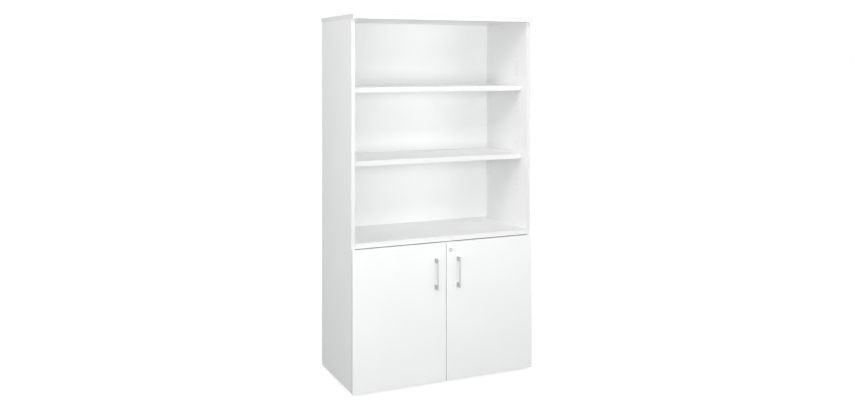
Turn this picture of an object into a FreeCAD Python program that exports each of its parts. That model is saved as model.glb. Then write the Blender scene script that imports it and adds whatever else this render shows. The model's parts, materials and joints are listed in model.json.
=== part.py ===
import FreeCAD, Part
import os
import re
import Sketcher

# A tall bookcase with three open compartments over a two-door cupboard. Millimetres, +Z up.
# X is 0 on the middle plane, Z is 0 on the floor, and Y is 0 half way between the handles' fronts
# and the top panel's back edge. The doors face -Y.

DOCUMENT = FreeCAD.newDocument("bookcase_with_cabinet_doors")
SHEET = DOCUMENT.addObject("Spreadsheet::Sheet", "Sizes")

DRIVING_SIZES = {
    # carcass
    "overall_width": 970,
    "overall_height": 1800,
    "side_depth": 452,
    "side_thickness": 18,
    "ground_gap": 15,
    "top_thickness": 22,
    "top_front_overhang": 23,
    "top_back_overhang": 10.5,
    "panel_thickness": 25,
    "divider_top": 717,
    "base_top": 95,
    "back_thickness": 8,
    "back_inset": 10,
    "groove_depth": 8,
    "groove_clearance": 0.3,
    "plinth_thickness": 16,
    "plinth_setback": 25,
    "edge_bevel": 0.8,
    # glued dowels
    "dowel_diameter": 8,
    "dowel_length": 34,
    "dowel_in_side": 12,
    "dowel_inset": 60,
    "dowel_fit": 0.1,
    # adjustable shelves and the rows of holes that carry them
    "shelf_setback": 53,
    "shelf_side_clearance": 1,
    "shelf_back_clearance": 1,
    "hole_pitch": 32,
    "hole_diameter": 5,
    "hole_depth": 12,
    "front_column": 105,
    "rear_column_inset": 41,
    "cupboard_rows_height": 324.5,
    "lower_rows_height": 900.5,
    "upper_rows_height": 1316.5,
    # shelf supports
    "stud_length": 10,
    "stud_fit": 0.1,
    "support_drop": 15,
    "support_thickness": 1.5,
    "support_width": 12,
    "support_reach": 14,
    # doors
    "door_thickness": 16,
    "door_gap": 3,
    "door_bottom": 13,
    "door_top_gap": 2,
    "centre_gap": 3,
    "door_corner_bevel": 1.5,
    "bumper_diameter": 10,
    "bumper_gap": 0.3,
    "bumper_inset": 40,
    # handles
    "handle_length": 148,
    "handle_width": 6,
    "handle_projection": 34,
    "handle_bar": 3,
    "handle_post": 20,
    "handle_corner": 1.5,
    "handle_inset": 58,
    "handle_drop": 72.5,
    "handle_screw_diameter": 4,
    "handle_screw_depth": 10,
    "handle_screw_head": 8,
    "handle_screw_head_height": 2,
    "screw_fit": 0.2,
    "thread_fit": 0.02,
    # concealed hinges
    "hinge_offset": 130,
    "pivot_inset": 7.5,
    "pivot_depth": 8,
    "pin_diameter": 2.5,
    "pin_seat_fit": 0.02,
    "pin_clearance": 0.05,
    "eye_diameter": 4.4,
    "neck_thickness": 2.4,
    "neck_width": 8,
    "neck_reach": 14,
    "neck_side_clearance": 0.3,
    "cup_diameter": 35,
    "cup_depth": 11.5,
    "cup_wall": 0.8,
    "cup_fit": 0.1,
    "cup_edge_distance": 3,
    "cheek_thickness": 2,
    "cheek_margin": 0.4,
    "flange_thickness": 1,
    "flange_height": 56,
    "flange_width": 24,
    "flange_shift": 4,
    "arm_start": 6,
    "arm_length": 46,
    "arm_width": 14,
    "arm_height": 8,
    "arm_wall": 1.2,
    "plate_thickness": 2,
    "plate_height": 50,
    "plate_wing": 14,
    "plate_inset": 37,
    "boss_clearance": 0.3,
    # cam lock
    "lock_inset": 22,
    "lock_drop": 38,
    "bezel_diameter": 18,
    "bezel_thickness": 2,
    "bezel_bevel": 0.6,
    "sleeve_diameter": 16,
    "sleeve_length": 24,
    "sleeve_fit": 0.1,
    "barrel_diameter": 12,
    "barrel_clearance": 0.05,
    "barrel_recess": 0.4,
    "keyway_width": 1.6,
    "keyway_height": 7,
    "keyway_depth": 9,
    "tail_width": 6,
    "tail_fit": 0.1,
    "cam_standoff": 9.5,
    "cam_thickness": 2,
    "cam_width": 12,
    "cam_corner": 4,
    "cam_reach": 30,
    "nut_width": 22,
    "nut_thickness": 4,
    "keeper_width": 30,
    "keeper_drop": 24,
    "keeper_reach": 20,
    "keeper_thickness": 2,
    "keeper_gap": 0.5,
    # adjustable legs under the base panel
    "leg_side_inset": 40,
    "leg_front_inset": 85,
    "leg_rear_inset": 60,
    "leg_flange_width": 56,
    "leg_flange_thickness": 3,
    "leg_tube_width": 28,
    "leg_tube_length": 42,
    "leg_stem_diameter": 10,
    "leg_stem_fit": 0.1,
    "leg_stem_length": 44,
    "leg_pad_diameter": 46,
    "leg_pad_thickness": 6,
}

# Places that several pieces share, worked out from the driving sizes. Heights are above the floor, and
# the back line and the rear column are so far behind the carcass front. Hinge places are in its own frame.
PLACES = {
    "half_width": "overall_width / 2",
    "inner_half_width": "half_width - side_thickness",
    "top_underside": "overall_height - top_thickness",
    "back_line": "side_depth - back_inset - back_thickness",
    "front_reach": "door_gap + door_thickness + handle_projection",
    "rear_reach": "side_depth + top_back_overhang",
    "carcass_front": "(front_reach - rear_reach) / 2",
    "divider_underside": "divider_top - panel_thickness",
    "base_underside": "base_top - panel_thickness",
    "door_top": "divider_underside - door_top_gap",
    "door_width": "half_width - centre_gap / 2",
    "door_back": "carcass_front - door_gap",
    "door_front": "door_back - door_thickness",
    "handle_middle": "door_top - handle_drop - handle_length / 2",
    "handle_screw_rise": "handle_length / 2 - handle_post / 2",
    "handle_offset": "centre_gap / 2 + handle_inset",
    "lower_hinge": "door_bottom + hinge_offset",
    "upper_hinge": "door_top - hinge_offset",
    "pivot_line": "door_back - pivot_depth",
    "cup_shift": "cup_edge_distance + cup_diameter / 2 - pivot_inset",
    "cup_floor": "pivot_depth - cup_depth + cup_wall",
    "cheek_inside": "neck_width / 2 + neck_side_clearance",
    "cheek_outside": "cheek_inside + cheek_thickness",
    "cheek_edge": "eye_diameter / 2 + cheek_margin",
    "cheek_root": "cup_shift - sqrt(pow((cup_diameter - cup_wall) / 2; 2) - pow(cheek_outside; 2))",
    "side_face": "side_thickness - pivot_inset",
    "front_line": "pivot_depth + door_gap",
    "arm_front": "front_line + arm_start",
    "arm_back": "arm_front + arm_length",
    "arm_foot": "side_face + plate_thickness",
    "arm_crown": "arm_foot + arm_height",
    "plate_line": "front_line + plate_inset",
    "boss_height": "arm_height - arm_wall - boss_clearance",
    "lock_offset": "centre_gap / 2 + lock_inset",
    "lock_height": "door_top - lock_drop",
    "cam_plane": "door_thickness + cam_standoff",
    "keeper_back": "cam_standoff - door_gap - keeper_gap",
    "keeper_front": "keeper_back - keeper_thickness",
    "rear_column": "back_line - rear_column_inset",
    "upper_shelf_hole": "upper_rows_height + 3 * hole_pitch",
    "middle_shelf_hole": "lower_rows_height + 5 * hole_pitch",
    "cupboard_shelf_hole": "cupboard_rows_height + hole_pitch",
}

# Rows of shelf-pin holes in each group, from the lowest hole up.
HOLE_ROWS = {"cupboard_rows": 3, "lower_rows": 9, "upper_rows": 10}
SMALL_ROUND_SIDES = 8  # small round holes and pegs have eight flats, which keeps the facets few

# Each side's sign along X, as it stands in an expression.
LEFT, RIGHT = "-1", "1"
OPPOSITE = {LEFT: RIGHT, RIGHT: LEFT}


def fill_sheet():
    """Writes the driving sizes as plain numbers and the shared places as formulas, each with its alias."""
    entries = {name: str(value) for name, value in DRIVING_SIZES.items()}
    entries.update({name: "=" + formula for name, formula in PLACES.items()})
    for row, (name, content) in enumerate(entries.items(), start=1):
        SHEET.set(f"A{row}", name)
        SHEET.set(f"B{row}", content)
        SHEET.setAlias(f"B{row}", name)
        DOCUMENT.recompute()


def qualified(expression):
    """The expression with each sheet alias written as Sizes.alias."""
    known = DRIVING_SIZES.keys() | PLACES.keys()
    return re.sub(r"[a-z_]+", lambda m: "Sizes." + m.group() if m.group() in known else m.group(), expression)


def size(expression):
    return float(SHEET.evalExpression(qualified(expression)))


def bind(target, setting, expression):
    target.setExpression(setting, qualified(expression))


def place(target, x="0", y="0", z="0"):
    for axis, expression in zip("xyz", (x, y, z)):
        bind(target, f"Placement.Base.{axis}", expression)


def origin_feature(body, role):
    return next(feature for feature in body.Origin.OriginFeatures if feature.Role == role)


# ---------------------------------------------------------------- sketches and features


def new_body(name, x="0", y="0", z="0", turned=False):
    """A body whose own frame sits at x, y, z. A turned one is swung half a turn about Y."""
    body = DOCUMENT.addObject("PartDesign::Body", name)
    body.Label = name
    if turned:
        body.Placement.Rotation = FreeCAD.Rotation(FreeCAD.Vector(0, 1, 0), 180)
    place(body, x, y, z)
    return body


def new_sketch(body, name, plane, offset="0"):
    """A sketch on one of the body's own planes, moved along the plane's normal by offset."""
    sketch = body.newObject("Sketcher::SketchObject", f"{body.Name}_{name}")
    sketch.AttachmentSupport = (origin_feature(body, plane + "_Plane"), [""])
    sketch.MapMode = "FlatFace"
    bind(sketch, "AttachmentOffset.Base.z", offset)
    return sketch


def fix_point(sketch, geometry, point, x, y):
    """Dimensions one point of the sketch from the sketch's origin, or ties it to the axis -2 (up) or -1 (across)."""
    for kind, axis, expression in (("DistanceX", -2, x), ("DistanceY", -1, y)):
        if expression == "0":
            sketch.addConstraint(Sketcher.Constraint("PointOnObject", geometry, point, axis))
        else:
            constraint = Sketcher.Constraint(kind, -1, 1, geometry, point, size(expression))
            index = sketch.addConstraint(constraint)
            bind(sketch, f"Constraints[{index}]", expression)


def polygon(sketch, corners):
    """A closed outline through the corners, each dimensioned from the sketch's origin."""
    first = sketch.GeometryCount
    count = len(corners)
    points = [FreeCAD.Vector(size(x), size(y), 0) for x, y in corners]
    for i in range(count):
        sketch.addGeometry(Part.LineSegment(points[i], points[(i + 1) % count]))
    for i in range(count):
        following = first + (i + 1) % count
        sketch.addConstraint(Sketcher.Constraint("Coincident", first + i, 2, following, 1))
    for i, (x, y) in enumerate(corners):
        fix_point(sketch, first + i, 1, x, y)


def rectangle(sketch, left, right, bottom, top):
    polygon(sketch, [(left, bottom), (right, bottom), (right, top), (left, top)])


def regular_polygon(sketch, x, y, across, sides):
    """A regular polygon whose flats are `across` apart, centred on x, y."""
    corners = []
    for i in range(sides):
        turn = f"{(2 * i + 1) * 180 / sides} deg"
        radius = f"({across}) / 2 / cos({180 / sides} deg)"
        corners.append((f"{x} + {radius} * cos({turn})", f"{y} + {radius} * sin({turn})"))
    polygon(sketch, corners)


def small_round(sketch, x, y, diameter):
    """The outline of a small round hole or peg, drawn with flats."""
    regular_polygon(sketch, x, y, diameter, SMALL_ROUND_SIDES)


def circle(sketch, x, y, diameter):
    centre = FreeCAD.Vector(size(x), size(y), 0)
    index = sketch.addGeometry(Part.Circle(centre, FreeCAD.Vector(0, 0, 1), size(diameter) / 2))
    fix_point(sketch, index, 3, x, y)
    constraint = sketch.addConstraint(Sketcher.Constraint("Diameter", index, size(diameter)))
    bind(sketch, f"Constraints[{constraint}]", diameter)


def pad(sketch, length, backwards=False, symmetric=False):
    """Extrudes the sketch along its plane's normal, or against it, or half to each side."""
    body = sketch.getParentGeoFeatureGroup()
    feature = body.newObject("PartDesign::Pad", sketch.Name + "_pad")
    feature.Profile = sketch
    feature.Reversed = backwards
    feature.SideType = "Symmetric" if symmetric else "One side"
    bind(feature, "Length", length)
    return feature


def pocket(sketch, depth, along_normal=False, symmetric=False):
    """Cuts the sketch against its plane's normal, or along it, or half to each side."""
    body = sketch.getParentGeoFeatureGroup()
    feature = body.newObject("PartDesign::Pocket", sketch.Name + "_pocket")
    feature.Profile = sketch
    feature.Reversed = along_normal
    feature.SideType = "Symmetric" if symmetric else "One side"
    bind(feature, "Length", depth)
    return feature


def row_up(body, feature, spacing, count):
    """Repeats a feature up the body's Z axis."""
    pattern = body.newObject("PartDesign::LinearPattern", feature.Name + "_row")
    pattern.Originals = [feature]
    pattern.Direction = (origin_feature(body, "Z_Axis"), [""])
    pattern.Mode = "Spacing"
    bind(pattern, "Offset", spacing)
    pattern.Occurrences = count
    body.Tip = pattern
    return pattern


def copy_whole(body, axis, spacing):
    """Adds a second copy of everything in the body, moved along one of its axes."""
    pattern = body.newObject("PartDesign::LinearPattern", f"{body.Name}_pair_{axis}")
    pattern.TransformMode = "Whole shape"
    pattern.Direction = (origin_feature(body, axis + "_Axis"), [""])
    pattern.Mode = "Spacing"
    bind(pattern, "Offset", spacing)
    pattern.Occurrences = 2
    body.Tip = pattern


def mirror_whole(body, plane):
    """Adds the mirror image of everything in the body."""
    mirrored = body.newObject("PartDesign::Mirrored", f"{body.Name}_mirrored_{plane}")
    mirrored.TransformMode = "Whole shape"
    mirrored.MirrorPlane = (origin_feature(body, plane + "_Plane"), [""])
    body.Tip = mirrored


def mirror_feature(body, feature, plane):
    """Adds the mirror image of one feature."""
    mirrored = body.newObject("PartDesign::Mirrored", f"{feature.Name}_mirrored")
    mirrored.Originals = [feature]
    mirrored.MirrorPlane = (origin_feature(body, plane + "_Plane"), [""])
    body.Tip = mirrored


def dress_edges(body, wanted, kind, measure, expression):
    """Fillets or chamfers the edges of the body's latest feature for which wanted(edge) is true."""
    DOCUMENT.recompute()
    base = body.Tip
    names = [f"Edge{i}" for i, edge in enumerate(base.Shape.Edges, start=1) if wanted(edge)]
    feature = body.newObject(f"PartDesign::{kind}", f"{base.Name}_{kind.lower()}")
    feature.Base = (base, names)
    bind(feature, measure, expression)
    body.Tip = feature


def round_edges(body, wanted, radius):
    dress_edges(body, wanted, "Fillet", "Radius", radius)


def bevel_edges(body, wanted, width):
    dress_edges(body, wanted, "Chamfer", "Size", width)


def lies_at(axis, expression):
    """A test for edges that lie wholly in the plane axis = expression, in the body's frame."""
    level = size(expression)

    def test(edge):
        box = edge.BoundBox
        low, high = getattr(box, axis + "Min"), getattr(box, axis + "Max")
        return abs(low - level) < 1e-4 and abs(high - level) < 1e-4

    return test


def runs_along(axis):
    """A test for straight edges that run along one axis."""
    others = [other for other in "XYZ" if other != axis]
    return lambda edge: all(getattr(edge.BoundBox, other + "Length") < 1e-4 for other in others)


def all_of(*tests):
    return lambda edge: all(test(edge) for test in tests)


def any_of(*tests):
    return lambda edge: any(test(edge) for test in tests)


# ---------------------------------------------------------------- carcass


def side_name(side):
    return "left" if side == LEFT else "right"


def dowel_lines():
    """Depths behind the carcass front at which each panel has its dowels."""
    return ["dowel_inset", "back_line - dowel_inset"]


def level_dowels():
    """Depth and height of each level dowel, at the ends of the fixed panels and the plinth rail."""
    heights = [f"{top} - panel_thickness / 2" for top in ("divider_top", "base_top")]
    spots = [(line, height) for height in heights for line in dowel_lines()]
    spots.append(("plinth_setback + plinth_thickness / 2", "(base_underside + ground_gap) / 2"))
    return spots


def upright_dowels():
    """X and depth of each upright dowel, between the sides and the top."""
    middles = [f"{side} * (half_width - side_thickness / 2)" for side in (LEFT, RIGHT)]
    return [(middle, line) for middle in middles for line in dowel_lines()]


def side_panel(side):
    """A side: its frame is at the inner face, the front edge and the floor, and it is solid outwards."""
    outwards = side == RIGHT
    body = new_body(f"{side_name(side)}_side_panel", f"{side} * inner_half_width", "carcass_front")
    outline = new_sketch(body, "outline", "YZ")
    rectangle(outline, "0", "side_depth", "ground_gap", "top_underside")
    pad(outline, "side_thickness", backwards=not outwards)
    bevel_edges(body, all_of(lies_at("Y", "0"), runs_along("Z")), "edge_bevel")

    groove = new_sketch(body, "back_groove", "YZ")
    rectangle(groove, "back_line", "back_line + back_thickness", "ground_gap", "top_underside")
    pocket(groove, "groove_depth", along_normal=outwards)

    dowel_holes = new_sketch(body, "dowel_holes", "YZ")
    for line, height in level_dowels():
        small_round(dowel_holes, line, height, "dowel_diameter + dowel_fit")
    pocket(dowel_holes, "dowel_in_side", along_normal=outwards)

    top_dowel_holes = new_sketch(body, "top_dowel_holes", "XY", "top_underside")
    for line in dowel_lines():
        small_round(top_dowel_holes, f"{side} * side_thickness / 2", line, "dowel_diameter + dowel_fit")
    pocket(top_dowel_holes, "dowel_length - dowel_in_side")

    for rows, count in HOLE_ROWS.items():
        holes = new_sketch(body, rows, "YZ")
        for column in ("front_column", "rear_column"):
            small_round(holes, column, f"{rows}_height", "hole_diameter + stud_fit")
        row_up(body, pocket(holes, "hole_depth", along_normal=outwards), "hole_pitch", count)
    return body


def top_panel():
    """The top lies on both sides, and stands out in front to cover the doors' thickness."""
    body = new_body("top_panel", "0", "carcass_front", "top_underside")
    outline = new_sketch(body, "outline", "XY")
    rectangle(outline, "-half_width", "half_width", "-top_front_overhang", "rear_reach")
    pad(outline, "top_thickness")
    bevel_edges(body, all_of(lies_at("Y", "-top_front_overhang"), runs_along("X")), "edge_bevel")

    groove = new_sketch(body, "back_groove", "XY")
    reach = "inner_half_width + groove_depth"
    rectangle(groove, f"-({reach})", reach, "back_line", "back_line + back_thickness")
    pocket(groove, "groove_depth", along_normal=True)

    dowel_holes = new_sketch(body, "dowel_holes", "XY")
    for middle, line in upright_dowels():
        small_round(dowel_holes, middle, line, "dowel_diameter + dowel_fit")
    pocket(dowel_holes, "dowel_in_side", along_normal=True)
    return body


def fixed_panel(name, underside):
    """A panel dowelled between the sides, from the carcass front to the back panel."""
    body = new_body(name, "0", "carcass_front", underside)
    outline = new_sketch(body, "outline", "XY")
    rectangle(outline, "-inner_half_width", "inner_half_width", "0", "back_line")
    pad(outline, "panel_thickness")
    bevel_edges(body, all_of(lies_at("Y", "0"), runs_along("X")), "edge_bevel")

    dowel_holes = new_sketch(body, "dowel_holes", "YZ", "inner_half_width")
    for line in dowel_lines():
        small_round(dowel_holes, line, "panel_thickness / 2", "dowel_diameter + dowel_fit")
    mirror_feature(body, pocket(dowel_holes, "dowel_length - dowel_in_side"), "YZ")
    return body


def plinth_rail():
    """A rail under the base panel, set back behind the doors."""
    body = new_body("plinth_rail", "0", "carcass_front + plinth_setback", "ground_gap")
    outline = new_sketch(body, "outline", "XY")
    rectangle(outline, "-inner_half_width", "inner_half_width", "0", "plinth_thickness")
    pad(outline, "base_underside - ground_gap")

    dowel_hole = new_sketch(body, "dowel_hole", "YZ", "inner_half_width")
    middle = "(base_underside - ground_gap) / 2"
    small_round(dowel_hole, "plinth_thickness / 2", middle, "dowel_diameter + dowel_fit")
    mirror_feature(body, pocket(dowel_hole, "dowel_length - dowel_in_side"), "YZ")
    return body


def back_panel():
    """A thin panel held in the grooves of the sides and the top, behind the fixed panels."""
    body = new_body("back_panel", "0", "carcass_front + back_line", "base_underside")
    outline = new_sketch(body, "outline", "XY")
    reach = "inner_half_width + groove_depth - groove_clearance"
    rectangle(outline, f"-({reach})", reach, "0", "back_thickness")
    pad(outline, "top_underside + groove_depth - groove_clearance - base_underside")
    return body


def dowels():
    """Every dowel of the carcass, as separate solids."""
    body = new_body("dowels", "0", "carcass_front")
    level = new_sketch(body, "level", "YZ", "inner_half_width + dowel_in_side")
    for line, height in level_dowels():
        small_round(level, line, height, "dowel_diameter")
    mirror_feature(body, pad(level, "dowel_length", backwards=True), "YZ")
    upright = new_sketch(body, "upright", "XY", "top_underside + dowel_in_side")
    for middle, line in upright_dowels():
        small_round(upright, middle, line, "dowel_diameter")
    pad(upright, "dowel_length", backwards=True)
    return body


# ---------------------------------------------------------------- adjustable shelves


def adjustable_shelf(name, hole):
    """A loose shelf that lies on the supports in the row of holes at the given height."""
    body = new_body(name, "0", "carcass_front + shelf_setback", f"{hole} + support_drop")
    outline = new_sketch(body, "outline", "XY")
    reach = "inner_half_width - shelf_side_clearance"
    rectangle(outline, f"-({reach})", reach, "0", "back_line - shelf_back_clearance - shelf_setback")
    pad(outline, "panel_thickness")
    bevel_edges(body, all_of(lies_at("Y", "0"), runs_along("X")), "edge_bevel")
    return body


def shelf_supports(name, hole):
    """Four L-shaped steel supports: a stud in the side, a leg up the side and a flange under the shelf."""
    body = new_body(name, "0", "carcass_front + front_column", hole)
    stud = new_sketch(body, "stud", "YZ", "inner_half_width - support_thickness")
    small_round(stud, "0", "0", "hole_diameter")
    pad(stud, "support_thickness + stud_length")
    angle = new_sketch(body, "angle", "XZ")
    face, tip = "inner_half_width", "inner_half_width - support_reach"
    inside, foot = "inner_half_width - support_thickness", "-hole_diameter"
    shoulder = "support_drop - support_thickness"
    corners = [(face, foot), (face, "support_drop"), (tip, "support_drop")]
    corners += [(tip, shoulder), (inside, shoulder), (inside, foot)]
    polygon(angle, corners)
    pad(angle, "support_width", symmetric=True)
    copy_whole(body, "Y", "rear_column - front_column")
    mirror_whole(body, "YZ")
    return body


# ---------------------------------------------------------------- doors and handles


def door(side):
    """An overlay door: its frame is at the outer edge, the back face and the floor."""
    inwards = OPPOSITE[side]
    body = new_body(f"{side_name(side)}_door", f"{side} * half_width", "door_back")
    outline = new_sketch(body, "outline", "XZ")
    rectangle(outline, "0", f"{inwards} * door_width", "door_bottom", "door_top")
    pad(outline, "door_thickness")
    bevel_edges(body, lies_at("Y", "-door_thickness"), "edge_bevel")
    bevel_edges(body, all_of(lies_at("Y", "0"), lies_at("X", "0")), "door_corner_bevel")

    cup_bores = new_sketch(body, "cup_bores", "XZ")
    centre = f"{inwards} * (cup_edge_distance + cup_diameter / 2)"
    for height in ("lower_hinge", "upper_hinge"):
        circle(cup_bores, centre, height, "cup_diameter + cup_fit")
    pocket(cup_bores, "cup_depth + cup_fit", along_normal=True)

    screw_holes = new_sketch(body, "handle_screw_holes", "XZ")
    across = f"{inwards} * (door_width - handle_inset)"
    for sign in "-+":
        height = f"handle_middle {sign} handle_screw_rise"
        small_round(screw_holes, across, height, "handle_screw_diameter + screw_fit")
    pocket(screw_holes, "door_thickness", along_normal=True)

    if side == RIGHT:
        lock_hole = new_sketch(body, "lock_hole", "XZ")
        across = f"{inwards} * (door_width - lock_inset)"
        circle(lock_hole, across, "lock_height", "sleeve_diameter + sleeve_fit")
        pocket(lock_hole, "door_thickness", along_normal=True)
    return body


def handle(side):
    """A D handle: two posts and a thin bar, cut from one flat outline, with a screw hole up each post."""
    body = new_body(f"{side_name(side)}_handle", f"{side} * handle_offset", "door_front", "handle_middle")
    outline = new_sketch(body, "outline", "YZ")
    end, post = "handle_length / 2", "(handle_length / 2 - handle_post)"
    front, behind_bar = "-handle_projection", "handle_bar - handle_projection"
    corners = [("0", f"-{end}"), (front, f"-{end}"), (front, end), ("0", end)]
    corners += [("0", post), (behind_bar, post), (behind_bar, f"-{post}"), ("0", f"-{post}")]
    polygon(outline, corners)
    pad(outline, "handle_width", symmetric=True)
    round_edges(body, all_of(runs_along("X"), lies_at("Y", front)), "handle_corner")

    screw_holes = new_sketch(body, "screw_holes", "XZ")
    for sign in "-+":
        small_round(screw_holes, "0", f"{sign}handle_screw_rise", "handle_screw_diameter + thread_fit")
    pocket(screw_holes, "handle_screw_depth + screw_fit", along_normal=True)
    return body


def handle_screws(side):
    """The two screws of a handle, with their heads on the door's back."""
    label = f"{side_name(side)}_handle_screws"
    body = new_body(label, f"{side} * handle_offset", "door_back", "handle_middle")
    shanks = new_sketch(body, "shanks", "XZ")
    heads = new_sketch(body, "heads", "XZ")
    for sign in "-+":
        small_round(shanks, "0", f"{sign}handle_screw_rise", "handle_screw_diameter")
        small_round(heads, "0", f"{sign}handle_screw_rise", "handle_screw_head")
    pad(shanks, "door_thickness + handle_screw_depth")
    pad(heads, "handle_screw_head_height", backwards=True)
    return body


def door_bumpers(side):
    """Two soft pads on the door's back, where it closes on the base panel's front edge."""
    body = new_body(f"{side_name(side)}_door_bumpers", "0", "door_back", "base_top - panel_thickness / 2")
    pads = new_sketch(body, "pads", "XZ")
    for inset in ("bumper_inset", "door_width / 2"):
        small_round(pads, f"{side} * (centre_gap / 2 + {inset})", "0", "bumper_diameter")
    pad(pads, "door_gap - bumper_gap", backwards=True)
    return body


# ---------------------------------------------------------------- concealed hinges
# Each hinge is drawn in its own frame: the pivot is the Z axis, +X points away from the door's outer
# edge and +Y into the cupboard. The right door's hinges are the left ones turned half a turn about Y.


def hinge_body(label, side, level):
    across = f"{side} * (half_width - pivot_inset)"
    return new_body(label, across, "pivot_line", f"{level}_hinge", turned=side == RIGHT)


def hinge_cups(side):
    """A door's two pressed cups, each with a flange on the door's back and two cheeks that hold the pin."""
    first = "lower" if side == LEFT else "upper"
    body = hinge_body(f"{side_name(side)}_hinge_cups", side, first)
    shell = new_sketch(body, "shell", "XZ", "-pivot_depth")
    circle(shell, "cup_shift", "0", "cup_diameter")
    pad(shell, "cup_depth")

    flange = new_sketch(body, "flange", "XZ", "-pivot_depth")
    centre, half = "(cup_shift + flange_shift)", "flange_width / 2"
    rectangle(flange, f"{centre} - {half}", f"{centre} + {half}", "-flange_height / 2", "flange_height / 2")
    pad(flange, "flange_thickness", backwards=True)

    hollow = new_sketch(body, "hollow", "XZ", "-pivot_depth - flange_thickness")
    circle(hollow, "cup_shift", "0", "cup_diameter - 2 * cup_wall")
    pocket(hollow, "flange_thickness + cup_depth - cup_wall", along_normal=True)

    cheek = new_sketch(body, "cheek", "XY", "cheek_inside")
    rectangle(cheek, "cheek_root", "cheek_edge", "cup_floor - cup_wall / 2", "cheek_edge")
    mirror_feature(body, pad(cheek, "cheek_thickness"), "XY")

    seat = new_sketch(body, "pin_seat", "XY")
    small_round(seat, "0", "0", "pin_diameter + pin_seat_fit")
    pocket(seat, "2 * cheek_outside", symmetric=True)
    copy_whole(body, "Z", "upper_hinge - lower_hinge")
    return body


def hinge_pin(side, level):
    """The pin on which the arm's eye turns, held in the cup's cheeks."""
    body = hinge_body(f"{side_name(side)}_{level}_hinge_pin", side, level)
    section = new_sketch(body, "section", "XY")
    circle(section, "0", "0", "pin_diameter")
    pad(section, "2 * cheek_outside", symmetric=True)
    return body


def hinge_arm(side, level):
    """A goose-neck arm: an eye on the pin, a bent neck, and a channel that straddles the plate's boss."""
    body = hinge_body(f"{side_name(side)}_{level}_hinge_arm", side, level)
    half = "neck_thickness / 2"
    inner, outer = f"neck_reach - {half}", f"neck_reach + {half}"
    wall_middle = "arm_front + arm_wall / 2"
    neck = new_sketch(body, "neck", "XY")
    corners = [("0", f"-{half}"), (outer, f"-{half}"), (outer, wall_middle)]
    corners += [(inner, wall_middle), (inner, half), ("0", half)]
    polygon(neck, corners)
    pad(neck, "neck_width", symmetric=True)
    inside_bend = all_of(lies_at("X", inner), lies_at("Y", half))
    outside_bend = all_of(lies_at("X", outer), lies_at("Y", f"-{half}"))
    round_edges(body, any_of(inside_bend, outside_bend), half)

    eye = new_sketch(body, "eye", "XY")
    circle(eye, "0", "0", "eye_diameter")
    pad(eye, "neck_width", symmetric=True)
    bore = new_sketch(body, "pin_bore", "XY")
    circle(bore, "0", "0", "pin_diameter + 2 * pin_clearance")
    pocket(bore, "neck_width", symmetric=True)

    channel = new_sketch(body, "channel", "XY")
    rectangle(channel, "arm_foot", "arm_crown", "arm_front", "arm_back")
    pad(channel, "arm_width", symmetric=True)
    inside = new_sketch(body, "channel_inside", "XY")
    rectangle(inside, "arm_foot", "arm_crown - arm_wall", "arm_front + arm_wall", "arm_back")
    pocket(inside, "arm_width - 2 * arm_wall", symmetric=True)
    return body


def hinge_plate(side, level):
    """A cross-shaped mounting plate on the side's inner face, with a boss inside the arm's channel."""
    body = hinge_body(f"{side_name(side)}_{level}_hinge_plate", side, level)
    near, far = "plate_line - plate_wing / 2", "plate_line + plate_wing / 2"
    spine = new_sketch(body, "spine", "YZ", "side_face")
    rectangle(spine, "arm_front", "arm_back", "-arm_width / 2", "arm_width / 2")
    pad(spine, "plate_thickness")
    wings = new_sketch(body, "wings", "YZ", "side_face")
    rectangle(wings, near, far, "-plate_height / 2", "plate_height / 2")
    pad(wings, "plate_thickness")

    boss = new_sketch(body, "boss", "YZ", "arm_foot")
    reach = "(arm_width / 2 - arm_wall - boss_clearance)"
    rectangle(boss, near, far, f"-{reach}", reach)
    pad(boss, "boss_height")
    return body


# ---------------------------------------------------------------- cam lock
# The lock's frame is on its own axis at the door's front face, with +Y into the cupboard.


def lock_part(name):
    return new_body(name, "lock_offset", "door_front", "lock_height")


def lock_sleeve():
    """The fixed outer part: a round bezel on the door's front and a sleeve through the door."""
    body = lock_part("lock_sleeve")
    bezel = new_sketch(body, "bezel", "XZ")
    circle(bezel, "0", "0", "bezel_diameter")
    pad(bezel, "bezel_thickness")
    bevel_edges(body, lies_at("Y", "-bezel_thickness"), "bezel_bevel")
    tube = new_sketch(body, "tube", "XZ")
    circle(tube, "0", "0", "sleeve_diameter")
    pad(tube, "sleeve_length", backwards=True)
    bore = new_sketch(body, "bore", "XZ", "bezel_thickness")
    circle(bore, "0", "0", "barrel_diameter + 2 * barrel_clearance")
    pocket(bore, "bezel_thickness + sleeve_length")
    return body


def lock_barrel():
    """The turning plug: a keyway in its front and a square tail that carries the cam."""
    body = lock_part("lock_barrel")
    plug = new_sketch(body, "plug", "XZ", "bezel_thickness - barrel_recess")
    circle(plug, "0", "0", "barrel_diameter")
    pad(plug, "bezel_thickness - barrel_recess + cam_plane", backwards=True)
    tail = new_sketch(body, "tail", "XZ", "-cam_plane")
    rectangle(tail, "-tail_width / 2", "tail_width / 2", "-tail_width / 2", "tail_width / 2")
    pad(tail, "cam_thickness", backwards=True)
    keyway = new_sketch(body, "keyway", "XZ", "bezel_thickness - barrel_recess")
    rectangle(keyway, "-keyway_width / 2", "keyway_width / 2", "-keyway_height / 2", "keyway_height / 2")
    pocket(keyway, "keyway_depth")
    return body


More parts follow.
